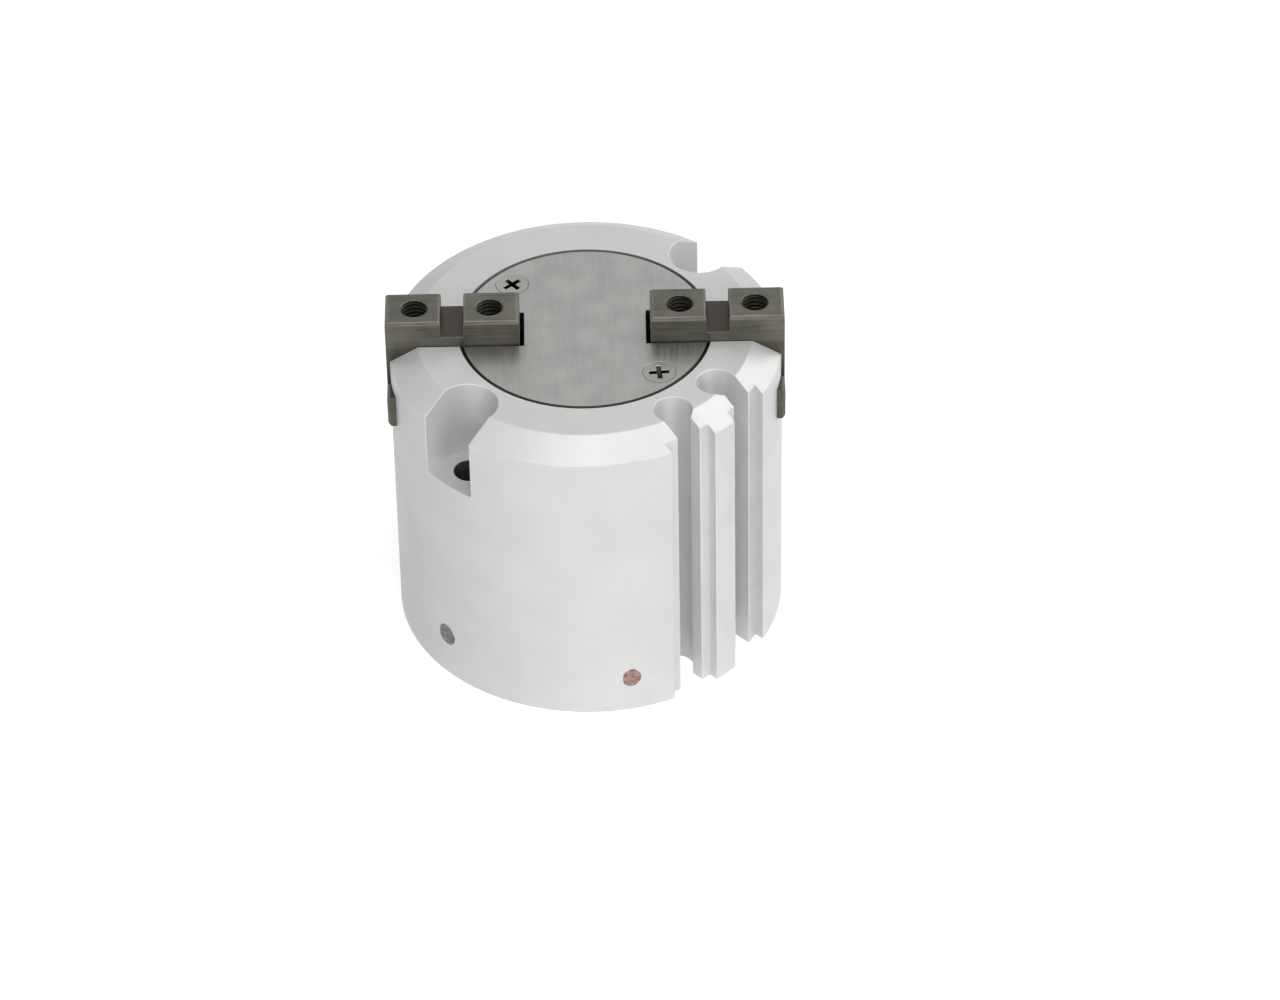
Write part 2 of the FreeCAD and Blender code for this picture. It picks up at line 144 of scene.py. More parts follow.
def eased_copy(node, name, radius, holes=(), hole_r=0.0, turn=least_turn):
    """Copy of a CAD piece with its triangles merged to whole faces and its outside edges rounded.

    A rounded edge is a strip of the given radius, where the faces turn by more than the given angle. Inside
    corners stay sharp, as the cutter left them, and so do the edges of bevels too narrow for a strip. The
    strips carry worn = 1, so that a finish can be rubbed thin along them."""
    source = frame["nodes"][node]
    mesh = bpy.data.meshes.new(name)
    shape = bmesh.new()
    shape.from_mesh(source.data)
    bmesh.ops.remove_doubles(shape, verts=shape.verts, dist=merge_reach)
    shape.to_mesh(mesh)
    shape.clear()
    for hole in holes:
        opened(mesh, hole, hole_r)
    shape.from_mesh(mesh)
    bmesh.ops.dissolve_limit(shape, angle_limit=flat_turn, verts=shape.verts, edges=shape.edges)
    outside = [edge for edge in shape.edges
               if edge.is_convex and edge.calc_face_angle(0) > turn
               and all(has_room(face, edge, radius) for face in edge.link_faces)]
    worn = shape.faces.layers.float.new("worn")
    strips = bmesh.ops.bevel(
        shape, geom=outside, offset=radius, offset_type="OFFSET", segments=edge_rows, profile=round_profile,
        affect="EDGES", clamp_overlap=False, loop_slide=True, face_strength_mode="ALL")
    for face in strips["faces"]:
        face[worn] = 1.0
    for face in shape.faces:
        face.smooth = True
    for edge in shape.edges:
        edge.smooth = edge.calc_face_angle(0) < smooth_turn
    shape.to_mesh(mesh)
    shape.free()
    if "custom_normal" in mesh.attributes:
        mesh.attributes.remove(mesh.attributes["custom_normal"])
    piece = bpy.data.objects.new(name, mesh)
    scene.collection.objects.link(piece)
    evening = piece.modifiers.new("flat faces stay flat", "WEIGHTED_NORMAL")
    evening.keep_sharp = True
    evening.use_face_influence = True
    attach(piece, source["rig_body"])
    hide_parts(node)
    return piece


def face_places(piece):
    """Middles and normals of a piece's faces, as two arrays of vectors."""
    faces = piece.data.polygons
    middles, normals = np.empty((2, 3 * len(faces)))
    faces.foreach_get("center", middles)
    faces.foreach_get("normal", normals)
    return middles.reshape(-1, 3), normals.reshape(-1, 3)


def paint_shade(piece, shares):
    """Writes painted shade on each face, 0 to 1, for seams, holes and recesses where shade falls."""
    layer = piece.data.attributes.new("painted_shade", "FLOAT", "FACE")
    layer.data.foreach_set("value", shares.astype(np.float32))


# Clear anodised, bead blasted aluminium: a pale satin grey with no direction to it, a fine even grain,
# a slight clouding, a brighter line where handling has rubbed the edges, and painted shade that darkens
# seams and holes. The oxide hides most of the metal's mirror. The grain is drawn coarser than the real
# one, so that it shows.
blasted_cloud = 6 * mm
blasted_grain = 0.3 * mm
blasted_relief = 0.012 * mm
blasted, tree, shader, place = start_material("bead blasted clear anodised aluminium", Metallic=0.2)
cloud = add_node(tree, "ShaderNodeTexNoise", {"Vector": place, "Scale": 1 / blasted_cloud, "Detail": 3.0})
grain = add_node(tree, "ShaderNodeTexNoise", {"Vector": place, "Scale": 1 / blasted_grain, "Detail": 2.0})
rubbed = add_node(tree, "ShaderNodeAttribute", {}, attribute_name="worn")
tone = add_node(tree, "ShaderNodeMapRange", {
    "Value": cloud.outputs["Fac"], **noise_core, "To Min": 0.0, "To Max": 1.0})
shade = add_node(tree, "ShaderNodeMix", {
    mix_share: tone.outputs["Result"], mix_from: linear("#DEDEDE"), mix_to: linear("#E3E3E2")},
    data_type="RGBA")
patchy = add_node(tree, "ShaderNodeMath", {
    0: rubbed.outputs["Fac"], 1: tone.outputs["Result"]}, operation="MULTIPLY")
clean = add_node(tree, "ShaderNodeMix", {
    mix_share: patchy.outputs["Value"], mix_from: shade.outputs[mix_out], mix_to: linear("#E9E9E9")},
    data_type="RGBA")
# Painted shade: marked faces in seams, holes and recesses are mixed towards a dark grey.
shaded = add_node(tree, "ShaderNodeAttribute", {}, attribute_name="painted_shade")
colour = add_node(tree, "ShaderNodeMix", {
    mix_share: shaded.outputs["Fac"], mix_from: clean.outputs[mix_out], mix_to: linear("#5C5B58")},
    data_type="RGBA")
gloss = add_node(tree, "ShaderNodeMapRange", {
    "Value": grain.outputs["Fac"], **noise_span, "To Min": 0.4, "To Max": 0.5})
relief = add_node(tree, "ShaderNodeBump", {
    "Height": grain.outputs["Fac"], "Strength": 0.35, "Distance": blasted_relief})
tree.links.new(colour.outputs[mix_out], shader.inputs["Base Color"])
tree.links.new(gloss.outputs["Result"], shader.inputs["Roughness"])
tree.links.new(relief.outputs["Normal"], shader.inputs["Normal"])

mounts = {mount["name"]: mount for mount in frame["record"]["mounts"]}
ports = []
for name in ("opening_port", "closing_port"):
    port_dims = mounts[name]["dims"]
    ports.append({"centre": mounts[name]["pos_m"], "axis": mounts[name]["axis"], "r": port_dims["r_mm"] * mm,
                  "reach": port_dims["length_mm"] * mm / 2 + hole_margin})
body = eased_copy("body", "gripper_body", blasted_edge, ports, port_tap_r + tap_clearance)
body.data.materials.append(blasted)

# Painted shade: the seam round the end plate and the long mounting holes are darkened fully, and the
# counterbores and the faces beside the crests of the switch grooves a little.
full_share = 1.0
seat_share = 0.1
crest_share = 0.12
level_limit = 0.9
plumb_limit = 0.1
beside_limit = 0.3
bolts = mounts["mounting_bolts"]["dims"]
bolt_azimuths = np.radians([-135.0, 45.0])
seat_reach = 4.0 * mm
seat_depth = 9.1 * mm
rib_azimuth = math.radians(-46.0)
crest_depth = 1.1 * mm
rib_depth = 3 * crest_depth
body_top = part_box("body")[1][2]
plate_rim_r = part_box("end_plate")[1][1]
plate_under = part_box("end_plate")[0][2]
seam_half = 0.3 * mm
drill_slack = 0.05 * mm
wall_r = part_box("body")[1][0]
middles, normals = face_places(body)
from_axis = np.hypot(middles[:, 0], middles[:, 1])
upright = np.abs(normals[:, 2]) < level_limit
in_seam = (np.abs(from_axis - plate_rim_r) < seam_half) & (middles[:, 2] > plate_under)
shares = full_share * (upright & in_seam)
for azimuth in bolt_azimuths:
    bolt_x, bolt_y = bolts["pcd_mm"] / 2 * mm * np.array([np.cos(azimuth), np.sin(azimuth)])
    from_bolt = np.hypot(middles[:, 0] - bolt_x, middles[:, 1] - bolt_y)
    seat_floor = np.abs(middles[:, 2] - (body_top - seat_depth)) < drill_slack
    seat_wall = (np.abs(normals[:, 2]) < plumb_limit) & (middles[:, 2] > body_top - seat_depth)
    shares[(from_bolt < seat_reach) & (seat_floor | seat_wall)] = seat_share
    shares[(from_bolt < bolts["hole_r_mm"] * mm + drill_slack) & upright] = full_share
rib = np.array([math.cos(rib_azimuth), math.sin(rib_azimuth)])
beside_rib = (np.abs(normals[:, :2] @ rib) < beside_limit) & (middles[:, :2] @ rib > wall_r - rib_depth)
shares[beside_rib & upright & (from_axis > wall_r - crest_depth)] = crest_share
paint_shade(body, shares)

# Port threads. Each air port is tapped for a small hose fitting, straight into the body's aluminium
# after anodising, so the thread is bright cut metal.
port_pitch = 0.8 * mm
flank_gain = 1.3
sleeve_back = 0.7 * tap_clearance


def loop_faces(around, along):
    """Quads of a grid of points that closes on itself both ways, one array row per point around."""
    i, j = np.meshgrid(np.arange(around), np.arange(along), indexing="ij")
    k, m = (i + 1) % around, (j + 1) % along
    return np.stack([i * along + j, k * along + j, k * along + m, i * along + m], axis=-1)


def add_piece(name, points, faces, material, body_name):
    """Adds a smooth mesh piece from arrays of points and faces, riding on a body."""
    mesh = bpy.data.meshes.new(name)
    mesh.from_pydata(points.reshape(-1, 3).tolist(), [], faces)
    mesh.shade_smooth()
    mesh.materials.append(material)
    piece = bpy.data.objects.new(name, mesh)
    scene.collection.objects.link(piece)
    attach(piece, body_name)


def thread_sleeve(mouth, axis, length, pitch, crest_r, root_r):
    """Tapped thread as a closed sleeve that lines its hole.

    At angle a and depth d the inner radius runs from root to crest as a triangle wave of d / pitch - a /
    turn, drawn taller by the flank gain and cut flat at root and crest. The outer radius lies just past the
    root, short of the hole's wall, and the section closes on itself."""
    around, steps = 64, 10
    rows = int(round(length / pitch * steps)) + 1
    turn, depth = np.meshgrid(np.linspace(0, 2 * np.pi, around, endpoint=False),
                              np.linspace(0, length, rows), indexing="ij")
    wave = np.abs(2 * ((depth / pitch - turn / (2 * np.pi)) % 1) - 1)
    radius = root_r + (crest_r - root_r) * np.clip(flank_gain * (wave - 0.5) + 0.5, 0, 1)
    wall = np.full((around, 2), root_r + sleeve_back)
    radius = np.concatenate([radius, wall], axis=1)
    depth = np.concatenate([depth, np.tile([length, 0.0], (around, 1))], axis=1)
    turn = np.concatenate([turn, turn[:, :2]], axis=1)
    axis = np.array(axis)
    lies_level = abs(axis[2]) < 0.5
    side = np.array([-axis[1], axis[0], 0.0]) if lies_level else np.array([1.0, 0.0, 0.0])
    up = np.cross(axis, side)
    out = np.cos(turn)[..., None] * side + np.sin(turn)[..., None] * up
    points = np.array(mouth) - depth[..., None] * axis + radius[..., None] * out
    return points, loop_faces(around, rows + 2).reshape(-1, 4).tolist()


def mottled(name, dark, light, grain, detail, gloss_range=None, **sockets):
    """Finish that wanders between two tones with noise of the given grain, and in roughness with it."""
    material, tree, shader, place = start_material(name, **sockets)
    mottle = add_node(tree, "ShaderNodeTexNoise", {"Vector": place, "Scale": 1 / grain, "Detail": detail})
    colour = add_node(tree, "ShaderNodeMix", {
        mix_share: mottle.outputs["Fac"], mix_from: linear(dark), mix_to: linear(light)}, data_type="RGBA")
    tree.links.new(colour.outputs[mix_out], shader.inputs["Base Color"])
    if gloss_range:
        smoothest, roughest = gloss_range
        gloss = add_node(tree, "ShaderNodeMapRange", {
            "Value": mottle.outputs["Fac"], **noise_span, "To Min": smoothest, "To Max": roughest})
        tree.links.new(gloss.outputs["Result"], shader.inputs["Roughness"])
    return material


# Bright cut aluminium: clean, smooth and reflective, with a faint torn grain from the tap.
cut_metal = mottled("tapped aluminium", "#A9AAAC", "#D2D3D4", grain=0.2 * mm, detail=3.0,
                    gloss_range=(0.25, 0.4), Metallic=1.0)
for name, port in zip(("opening_port_thread", "closing_port_thread"), ports):
    length = 2 * (port["reach"] - hole_margin)
    mouth = np.array(port["centre"]) + 0.5 * length * np.array(port["axis"])
    points, faces = thread_sleeve(mouth, port["axis"], length, port_pitch, port["r"], port_tap_r)
    add_piece(name, points, faces, cut_metal, "housing")

# Ink dots. Two small spots of ink stamped by hand on the wall near the mounting face, one grey and one
# red brown, thin enough to show the blasted grain through them.
dot_film = 0.006 * mm
dot_sink = 0.03 * mm
dot_middle = 0.02
film_power = 8
rim_power = 24
dot_lobes = ({"count": 3, "size": 0.02, "shift": 0.6}, {"count": 5, "size": 0.015, "shift": 0.0})
ink_speck = 0.5 * mm
dots = {
    "ink_dot_grey": {"azimuth": -138.0, "height": 5.6 * mm, "wide": 2.7 * mm, "tall": 2.9 * mm,
                     "ink": "grey stamp ink", "dark": "#6A6A6B", "thin": "#98989A"},
    "ink_dot_red": {"azimuth": -78.3, "height": 4.6 * mm, "wide": 2.2 * mm, "tall": 2.6 * mm,
                    "ink": "red brown stamp ink", "dark": "#87685D", "thin": "#B7978C"},
}


def ink_film(azimuth, height, wide, tall):
    """Oval film on the cylinder wall.

    At share s from the middle and angle a the point lies s * wide / 2 * cos a along the wall and
    s * tall / 2 * sin a up it, with a rim that wavers by a few percent in low lobes. The film swells to full
    height within the rim as 1 - s ** 8, the rim dips under the wall as s ** 24, and the back lies as deep.
    Front and back share the rim, and a small face closes each in the middle."""
    around, rings = 48, 10
    turn, share = np.meshgrid(np.linspace(0, 2 * np.pi, around, endpoint=False),
                              np.linspace(dot_middle, 1, rings), indexing="ij")
    waver = 1 + sum(lobe["size"] * np.cos(lobe["count"] * turn + lobe["shift"]) for lobe in dot_lobes)
    along = 0.5 * wide * share * waver * np.cos(turn)
    up = 0.5 * tall * share * waver * np.sin(turn)
    front = wall_r + dot_film * (1 - share ** film_power) - dot_sink * share ** rim_power
    back = np.full_like(front, wall_r - dot_sink)
    radius = np.concatenate([front, back[:, -2::-1]], axis=1)
    along = np.concatenate([along, along[:, -2::-1]], axis=1)
    up = np.concatenate([up, up[:, -2::-1]], axis=1)
    angle = math.radians(azimuth) + along / wall_r
    points = np.stack([radius * np.cos(angle), radius * np.sin(angle), height + up], axis=-1)
    rows = radius.shape[1]
    sides = loop_faces(around, rows)[:, :-1, ::-1].reshape(-1, 4)
    front_middle = np.arange(around) * rows
    back_middle = front_middle[::-1] + rows - 1
    return points, [*sides.tolist(), front_middle.tolist(), back_middle.tolist()]


for name, dot in dots.items():
    # Thin stamp ink: matt, uneven, and paler where the blasted grain shows through.
    ink, tree, shader, place = start_material(dot["ink"], Roughness=0.6)
    speck = add_node(tree, "ShaderNodeTexNoise", {"Vector": place, "Scale": 1 / ink_speck, "Detail": 4.0})
    patch = add_node(tree, "ShaderNodeMapRange", {
        "Value": speck.outputs["Fac"], **noise_core, "To Min": 0.0, "To Max": 1.0})
    colour = add_node(tree, "ShaderNodeMix", {
        mix_share: patch.outputs["Result"], mix_from: linear(dot["dark"]), mix_to: linear(dot["thin"])},
        data_type="RGBA")
    tree.links.new(colour.outputs[mix_out], shader.inputs["Base Color"])
    points, faces = ink_film(dot["azimuth"], dot["height"], dot["wide"], dot["tall"])
    add_piece(name, points, faces, ink, "housing")

# Seals and stops. Moulded nitrile rubber rings: the rod's seal in the wall above the bore, the piston's
# and the cover's seals, the gasket under the rod, and a stop ring at each end of the stroke.
rubber_bloom = 1.5 * mm
rubber_pebble = 0.15 * mm
pebble_depth = 0.01 * mm


def give_finish(material, *nodes):
    """Gives CAD pieces their material."""
    for node in nodes:
        for material_slot in frame["nodes"][node].material_slots:
            material_slot.material = material


# Nitrile rubber: near black, dull, with the faint bloom and pebble of a moulded surface.
rubber, tree, shader, place = start_material("moulded nitrile rubber", Roughness=0.65)
bloom = add_node(tree, "ShaderNodeTexNoise", {"Vector": place, "Scale": 1 / rubber_bloom, "Detail": 4.0})
pebble = add_node(tree, "ShaderNodeTexNoise", {"Vector": place, "Scale": 1 / rubber_pebble, "Detail": 2.0})
colour = add_node(tree, "ShaderNodeMix", {
    mix_share: bloom.outputs["Fac"], mix_from: linear("#191919"), mix_to: linear("#2B2B2A")},
    data_type="RGBA")
relief = add_node(tree, "ShaderNodeBump", {
    "Height": pebble.outputs["Fac"], "Strength": 0.3, "Distance": pebble_depth})
tree.links.new(colour.outputs[mix_out], shader.inputs["Base Color"])
tree.links.new(relief.outputs["Normal"], shader.inputs["Normal"])
give_finish(rubber, "rod_seal", "rod_side_bumper", "head_side_bumper", "piston_seal", "cap_seal",
            "rod_gasket")

# Wedge cam. Hardened steel block whose sloping T-slots pull both fingers; ground on its working faces
# and bolted through the rod to the piston.
ground_edge = 0.08 * mm
scratch_width = 0.12 * mm
scratch_length = 4 * mm
scratch_depth = 0.006 * mm
heat_cloud = 3 * mm
rub_gain = 0.45
shade_brown = "#3E3A32"
shade_fade = 0.3 * mm
sunk_share = 0.5
ground_swing = 0.06


def ground_steel(name, dark, light, along, roughness, shade_line=0.0, metallic=1.0):
    """Ground steel: fine scratches that run one way, over a slight clouding from the heat treatment.

    The scratches are noise stretched to about 4 mm along the grinding and 0.12 mm across it, which is
    coarser than the real ones so that they show. Faces marked for painted shade are mixed to dark brown, and
    all that lies below the line given is mixed half as far, as painted shade too. An oxide film makes the
    steel less metallic."""
    material, tree, shader, place = start_material(name, Metallic=metallic)
    spacing = [scratch_length if axis == along else scratch_width for axis in "XYZ"]
    stretch = add_node(tree, "ShaderNodeMapping", {"Vector": place, "Scale": [1 / size for size in spacing]})
    scratch = add_node(tree, "ShaderNodeTexNoise", {
        "Vector": stretch.outputs["Vector"], "Scale": 1.0, "Detail": 3.0})
    cloud = add_node(tree, "ShaderNodeTexNoise", {"Vector": place, "Scale": 1 / heat_cloud, "Detail": 2.0})
    rubbed = add_node(tree, "ShaderNodeAttribute", {}, attribute_name="worn")
    summed = add_node(tree, "ShaderNodeMath", {
        0: scratch.outputs["Fac"], 1: cloud.outputs["Fac"]}, operation="ADD")
    tone = add_node(tree, "ShaderNodeMapRange", {
        "Value": summed.outputs["Value"], "From Min": 0.75, "From Max": 1.25, "To Min": 0.0, "To Max": 0.8})
    bright = add_node(tree, "ShaderNodeMath", {
        0: rubbed.outputs["Fac"], 1: rub_gain, 2: tone.outputs["Result"]}, operation="MULTIPLY_ADD")
    clean = add_node(tree, "ShaderNodeMix", {
        mix_share: bright.outputs["Value"], mix_from: linear(dark), mix_to: linear(light)}, data_type="RGBA")
    shaded = add_node(tree, "ShaderNodeAttribute", {}, attribute_name="painted_shade")
    height = add_node(tree, "ShaderNodeSeparateXYZ", {0: place})
    sunk_shade = add_node(tree, "ShaderNodeMapRange", {
        "Value": height.outputs["Z"], "From Min": shade_line - shade_fade, "From Max": shade_line,
        "To Min": sunk_share, "To Max": 0.0})
    film = add_node(tree, "ShaderNodeMath", {
        0: shaded.outputs["Fac"], 1: sunk_shade.outputs["Result"]}, operation="MAXIMUM")
    colour = add_node(tree, "ShaderNodeMix", {
        mix_share: film.outputs["Value"], mix_from: clean.outputs[mix_out], mix_to: linear(shade_brown)},
        data_type="RGBA")
    gloss = add_node(tree, "ShaderNodeMapRange", {
        "Value": scratch.outputs["Fac"], **noise_span,
        "To Min": roughness - ground_swing, "To Max": roughness + ground_swing})
    relief = add_node(tree, "ShaderNodeBump", {
        "Height": scratch.outputs["Fac"], "Strength": 0.3, "Distance": scratch_depth})
    tree.links.new(colour.outputs[mix_out], shader.inputs["Base Color"])
    tree.links.new(gloss.outputs["Result"], shader.inputs["Roughness"])
    tree.links.new(relief.outputs["Normal"], shader.inputs["Normal"])
    return material


# Hardened cam steel: a clean mid grey, streaked along the grinding.
cam_steel = ground_steel("ground hardened cam steel", "#8C8C89", "#ABABA8", along="X", roughness=0.3)
cam = eased_copy("wedge_cam", "wedge_cam_block", ground_edge)
cam.data.materials.append(cam_steel)

# Fingers. Hardened and ground steel bars with a T-shaped foot, darkened by the heat treatment; they slide
# in the body's slot, and each has two tapped holes and a cross keyway for its jaw.
jaw_tap_r = 1.5 * mm
jaw_pitch = 0.5 * mm
jaw_hole_depth = 6.0 * mm
jaw_thread_mouth = 0.35 * mm
jaw_thread_length = 5.0 * mm
keyway_half = 1.2 * mm
keyway_depth = 1.9 * mm
aside_limit = 0.5

# Finger steel: a dark olive grey under its oxide film, streaked along the bar; painted shade makes it
# brown in the keyway and browner below the body's top. The tapped steel in the holes is painted nearly
# black for the shade inside them.
finger_steel = ground_steel("dark ground hardened steel", "#53524A", "#737168", along="X", roughness=0.36,
                            shade_line=body_top, metallic=0.6)
shaded_tapped_steel = ground_steel("shaded tapped steel", "#24231F", "#3C3A34", along="Z", roughness=0.42)
for side in ("left", "right"):
    node = "finger_" + side
    pattern = mounts[node + "_holes"]
    middle, axis = np.array(pattern["pos_m"]), pattern["axis"]
    half_step = np.array([0.5 * pattern["dims"]["spacing_x_mm"] * mm, 0, 0])
    holes = [{"centre": top, "axis": axis, "r": pattern["dims"]["hole_r_mm"] * mm,
              "reach": jaw_hole_depth + hole_margin} for top in (middle - half_step, middle + half_step)]
    finger = eased_copy(node, node + "_bar", ground_edge, holes, jaw_tap_r + tap_clearance)
    finger.data.materials.append(finger_steel)
    # Painted shade: the keyway's floor and side walls are marked to be darkened.
    middles, normals = face_places(finger)
    in_keyway = np.abs(middles[:, 0] - middle[0]) < keyway_half + drill_slack
    in_keyway &= middles[:, 2] > middle[2] - keyway_depth - drill_slack
    paint_shade(finger, in_keyway & (np.abs(normals[:, 1]) < aside_limit))
    for place_name, hole in zip(("inner", "outer"), holes):
        mouth = np.array(hole["centre"]) - jaw_thread_mouth * np.array(axis)
        points, faces = thread_sleeve(mouth, axis, jaw_thread_length, jaw_pitch, hole["r"], jaw_tap_r)
        add_piece(node + "_thread_" + place_name, points, faces, shaded_tapped_steel, node)

# Piston rod. Hollow steel rod between the piston and the cam, hard chromed and polished where it runs
# through its seal.

# Hard chrome: a bright even mirror, only slightly softened by the polishing.
chrome = mottled("hard chromed steel", "#C4C6C9", "#D4D6D8", grain=0.8 * mm, detail=3.0,
                 gloss_range=(0.1, 0.18), Metallic=1.0)
rod = eased_copy("piston_rod", "piston_rod_tube", ground_edge)
rod.data.materials.append(chrome)

# Piston and magnet holder. Turned from aluminium bar and left as cut; the piston slides in the bore on its
# guide ring, and the thin holder keeps the magnet on the piston's shelf.
turned_cloud = 4 * mm
ring_share = 0.12
ring_depth = 0.004 * mm
turned_swing = 0.05


def turned_metal(name, dark, light, feed, roughness, metallic=1.0):
    """Turned metal: rings about the Z axis, spaced by the feed of the tool, that waver in brightness.

    The rings are a sine of the distance from the axis plus the height, and noise breaks them up. Faces
    marked for painted shade are mixed to dark brown."""
    material, tree, shader, place = start_material(name, Metallic=metallic)
    flat = add_node(tree, "ShaderNodeVectorMath", {0: place, 1: (1.0, 1.0, 0.0)}, operation="MULTIPLY")
    reach = add_node(tree, "ShaderNodeVectorMath", {0: flat.outputs["Vector"]}, operation="LENGTH")
    height = add_node(tree, "ShaderNodeSeparateXYZ", {0: place})
    path = add_node(tree, "ShaderNodeMath", {
        0: reach.outputs["Value"], 1: height.outputs["Z"]}, operation="ADD")
    phase = add_node(tree, "ShaderNodeMath", {
        0: path.outputs["Value"], 1: 2 * math.pi / feed}, operation="MULTIPLY")
    rings = add_node(tree, "ShaderNodeMath", {0: phase.outputs["Value"]}, operation="SINE")
    cloud = add_node(tree, "ShaderNodeTexNoise", {"Vector": place, "Scale": 1 / turned_cloud, "Detail": 3.0})
    waver = add_node(tree, "ShaderNodeMath", {
        0: rings.outputs["Value"], 1: ring_share, 2: cloud.outputs["Fac"]}, operation="MULTIPLY_ADD")
    clean = add_node(tree, "ShaderNodeMix", {
        mix_share: waver.outputs["Value"], mix_from: linear(dark), mix_to: linear(light)}, data_type="RGBA")
    shaded = add_node(tree, "ShaderNodeAttribute", {}, attribute_name="painted_shade")
    colour = add_node(tree, "ShaderNodeMix", {
        mix_share: shaded.outputs["Fac"], mix_from: clean.outputs[mix_out], mix_to: linear(shade_brown)},
        data_type="RGBA")
    gloss = add_node(tree, "ShaderNodeMapRange", {
        "Value": waver.outputs["Value"], "From Min": 0.2, "From Max": 0.8,
        "To Min": roughness - turned_swing, "To Max": roughness + turned_swing})
    relief = add_node(tree, "ShaderNodeBump", {
        "Height": rings.outputs["Value"], "Strength": 0.25, "Distance": ring_depth})
    tree.links.new(colour.outputs[mix_out], shader.inputs["Base Color"])
    tree.links.new(gloss.outputs["Result"], shader.inputs["Roughness"])
    tree.links.new(relief.outputs["Normal"], shader.inputs["Normal"])
    return material


# Turned aluminium: bright and slightly blue, with fine tool rings that catch the light.
bare_aluminium = turned_metal("turned aluminium", "#C2C3C5", "#DADBDC", feed=0.25 * mm, roughness=0.32)
for node in ("piston", "magnet_holder"):
    turned_piece = eased_copy(node, node + "_turned", ground_edge)
    turned_piece.data.materials.append(bare_aluminium)

# Guide ring and magnet. The ring is filled plastic that keeps the piston off the bore; the magnet is
# ferrite powder bonded in rubber, which the position switches sense.

# Bronze filled plastic: brown, waxy, with fine paler specks of the filler.
guide = mottled("bronze filled PTFE", "#5E4E38", "#8E7A5C", grain=0.1 * mm, detail=3.0, Roughness=0.5)
give_finish(guide, "wear_ring")

# Bonded ferrite: charcoal brown and matt, with a dusty grain.
ferrite = mottled("bonded ferrite", "#2A2624", "#46403C", grain=0.2 * mm, detail=4.0, Roughness=0.7)
give_finish(ferrite, "magnet")

# Piston bolt and end plate screws. Cold headed stainless: the bolt clamps piston and rod to the cam,
# and two countersunk screws hold the end plate.
screw_edge = 0.05 * mm
drive_rim = 0.12 * mm

# Headed stainless: a clean grey with fine rings from the die, and painted brown shade in the drive recess
# below its top face.
headed = turned_metal("cold headed stainless steel", "#8E8E8B", "#AAAAA7", feed=0.18 * mm, roughness=0.34)
for node in ("piston_bolt", "end_plate_screws"):
    fastener = eased_copy(node, node + "_headed", screw_edge)
    fastener.data.materials.append(headed)
    # Painted shade: everything deeper than the drive rim under the head's top face is darkened.
    middles = face_places(fastener)[0]
    paint_shade(fastener, middles[:, 2] < middles[:, 2].max() - drive_rim)

# End cap. Turned aluminium cover of the cylinder, clear anodised; pushed in from below with its O-ring and
# held by the retaining ring.

# Anodised turned aluminium: the tool rings stay, a little greyer and duller under the clear oxide.
cap_metal = turned_metal("turned clear anodised aluminium", "#BFC0C2", "#D3D4D6", feed=0.3 * mm,
                         roughness=0.36, metallic=0.8)
cap = eased_copy("end_cap", "end_cap_turned", ground_edge)
cap.data.materials.append(cap_metal)

# Retaining ring. Snap ring stamped from spring steel strip and phosphated, sprung into the bore's groove
# to hold the cover.

# Phosphated spring steel: dark grey, oiled, faintly mottled by the crystals.
phosphate = mottled("phosphated spring steel", "#2E2F30", "#555657", grain=0.25 * mm, detail=4.0,
                    gloss_range=(0.35, 0.55), Metallic=0.7)
snap_ring = eased_copy("retaining_ring", "retaining_ring_stamped", screw_edge)
snap_ring.data.materials.append(phosphate)

# End plate. Flush round cover of the cam pocket, cut from ground stainless sheet, with a U-slot round
# each finger; held by two countersunk screws.
plate_edge = 0.06 * mm
square_turn = math.radians(50)

# Ground stainless sheet: an even warm grey with fine lines from front to back, and painted shade in its rim.
plate_steel = ground_steel("ground stainless sheet", "#9A9997", "#A9A8A6", along="Y", roughness=0.4)
plate = eased_copy("end_plate", "end_plate_sheet", plate_edge, turn=square_turn)
plate.data.materials.append(plate_steel)
# Painted shade: the upright faces of the plate's rim, in the seam, are darkened.
middles, normals = face_places(plate)
rim = np.abs(np.hypot(middles[:, 0], middles[:, 1]) - plate_rim_r) < seam_half
paint_shade(plate, rim & (np.abs(normals[:, 2]) < level_limit))

# Stage. A sheet of white paper under the gripper, which melts into a white background and keeps a soft
# shadow.
floor_half = 3.0
floor_glow = 0.68
white = (1.0, 1.0, 1.0, 1.0)
floor_mesh = bpy.data.meshes.new("floor")
corners = floor_half * np.array([(-1, -1, 0), (1, -1, 0), (1, 1, 0), (-1, 1, 0)], dtype=float)
floor_mesh.from_pydata(corners.tolist(), [], [(0, 1, 2, 3)])
floor = bpy.data.objects.new("floor", floor_mesh)
scene.collection.objects.link(floor)


def background_rays(tree):
    """Share of the rays that see the background as it is: from the camera, mirrored or passed through."""
    path = add_node(tree, "ShaderNodeLightPath", {})
    mirrored = add_node(tree, "ShaderNodeMath", {
        0: path.outputs["Is Camera Ray"], 1: path.outputs["Is Glossy Ray"]}, operation="MAXIMUM")
    seen = add_node(tree, "ShaderNodeMath", {
        0: mirrored.outputs["Value"], 1: path.outputs["Is Transmission Ray"]}, operation="MAXIMUM")
    return seen.outputs["Value"]


# White paper sweep: lit by the lamps, with enough glow of its own to reach white for the camera.
sweep, tree, shader, place = start_material(
    "white paper sweep", Base_Color=linear("#E6E6E6"), Roughness=0.9, Emission_Color=white)
glow = add_node(tree, "ShaderNodeMath", {0: background_rays(tree), 1: floor_glow}, operation="MULTIPLY")
tree.links.new(glow.outputs["Value"], shader.inputs["Emission Strength"])
floor_mesh.materials.append(sweep)

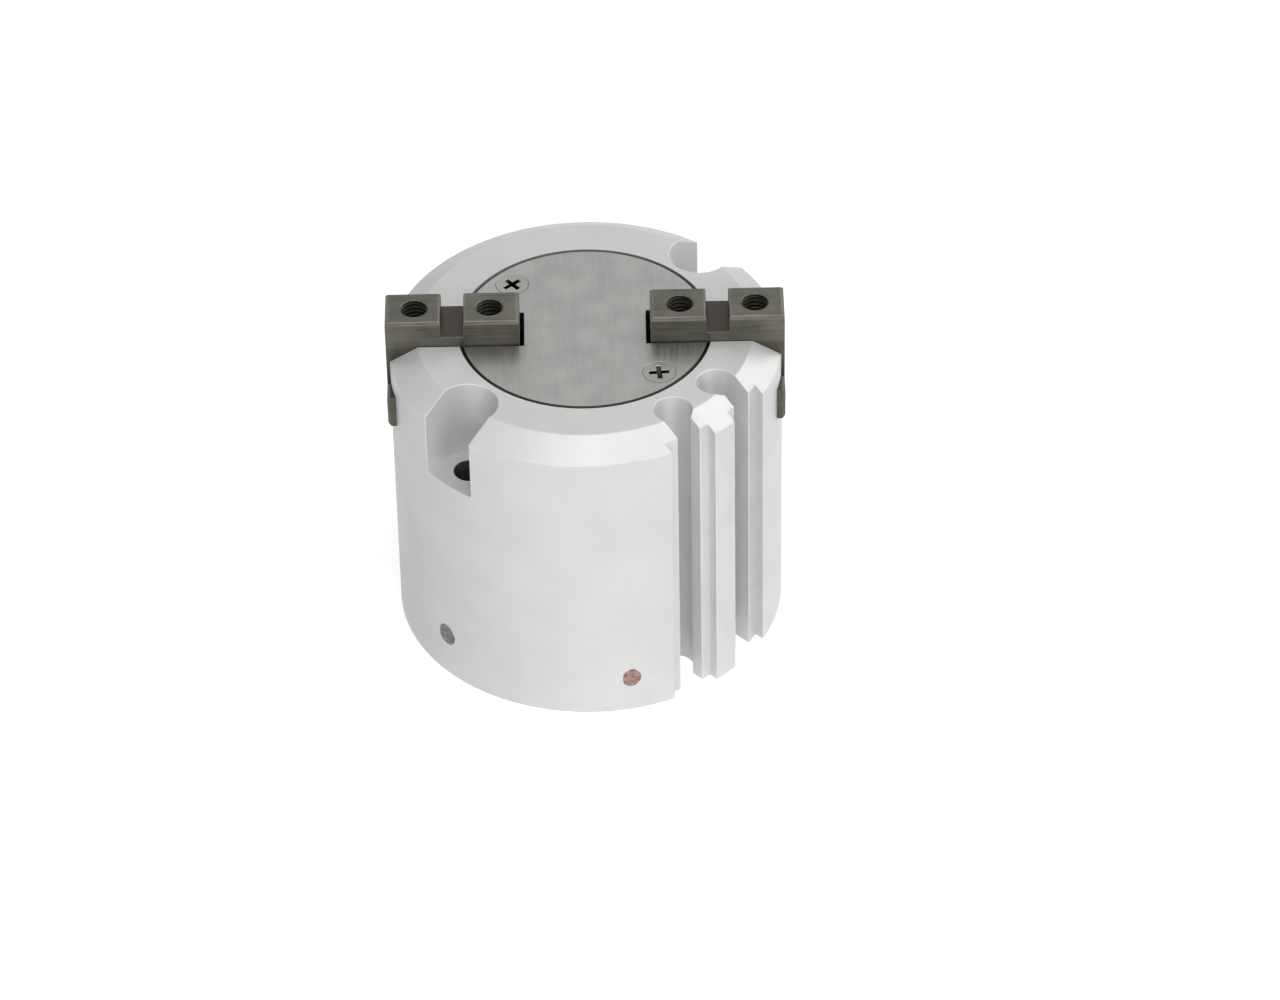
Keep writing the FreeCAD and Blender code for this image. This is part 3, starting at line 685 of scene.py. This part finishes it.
# Surroundings. A white room: white where the camera or a mirrored ray sees it, and a plain soft fill for
# every other ray.
fill_strength = 0.1
world = bpy.data.worlds.new("white room")
world.use_nodes = True
scene.world = world
tree = world.node_tree
strength = add_node(tree, "ShaderNodeMapRange", {
    "Value": background_rays(tree), "To Min": fill_strength, "To Max": 1.0})
sky = tree.nodes["Background"]
sky.inputs["Color"].default_value = white
tree.links.new(strength.outputs["Result"], sky.inputs["Strength"])

# Lamps. Large softboxes low in front, to the left and behind light the wall. They stand so near that flat
# metal would show them as white sheets, so it mirrors only the small ones, above, right and behind right.
# Places and sizes are in metres.
lamps = {
    "softbox_front": {"place": (0.14, -0.62, 0.15), "size": 0.6, "watts": 3.05, "mirrored": False},
    "softbox_left": {"place": (-0.35, -0.52, 0.15), "size": 0.5, "watts": 0.46, "mirrored": False},
    "softbox_back": {"place": (0.0, 0.64, 0.1), "size": 0.4, "watts": 0.3, "mirrored": False},
    "softbox_above": {"place": (0.0, -0.12, 0.52), "size": 0.2, "watts": 0.52, "mirrored": True},
    "softbox_right": {"place": (0.3, 0.06, 0.43), "size": 0.2, "watts": 0.48, "mirrored": True},
    "softbox_rim": {"place": (0.34, 0.26, 0.3), "size": 0.2, "watts": 0.34, "mirrored": True},
}
aim = Vector((0, 0, 0.02))
for name, lamp in lamps.items():
    light = bpy.data.lights.new(name, "AREA")
    light.shape = "SQUARE"
    light.size = lamp["size"]
    light.energy = lamp["watts"]
    softbox = bpy.data.objects.new(name, light)
    softbox.visible_glossy = lamp["mirrored"]
    softbox.location = lamp["place"]
    softbox.rotation_euler = (Vector(lamp["place"]) - aim).to_track_quat("Z", "Y").to_euler()
    scene.collection.objects.link(softbox)

# Camera. A long lens from the front, a touch from the right and looking down on the gripper, which stands
# left of the middle.
image_width = 1280
focal_px = 5844.0
azimuth = math.radians(0.45)
elevation = math.radians(39.62)
roll = math.radians(1.43)
distance = 0.634
target = Vector((0, 0, 0.018))
target_off_middle_px = (-51.7, 40.0)
level_right = Vector((math.cos(azimuth), math.sin(azimuth), 0))
level_ahead = Vector((-math.sin(azimuth), math.cos(azimuth), 0))
to_target = level_ahead * math.cos(elevation) - Vector((0, 0, math.sin(elevation)))
level_up = level_right.cross(to_target)
right = level_right * math.cos(roll) - level_up * math.sin(roll)
up = level_right * math.sin(roll) + level_up * math.cos(roll)
ahead = to_target * focal_px - right * target_off_middle_px[0] - up * target_off_middle_px[1]
ahead.normalize()
right = (right - ahead * right.dot(ahead)).normalized()
lens = bpy.data.cameras.new("camera")
lens.sensor_width = 36.0
lens.lens = lens.sensor_width * focal_px / image_width
lens.clip_start = 0.01
camera = bpy.data.objects.new("camera", lens)
turned_view = Matrix((right, (-ahead).cross(right), -ahead)).transposed()
camera.matrix_world = Matrix.Translation(target - to_target * distance) @ turned_view.to_4x4()
scene.collection.objects.link(camera)
scene.camera = camera
scene.view_settings.view_transform = "Standard"
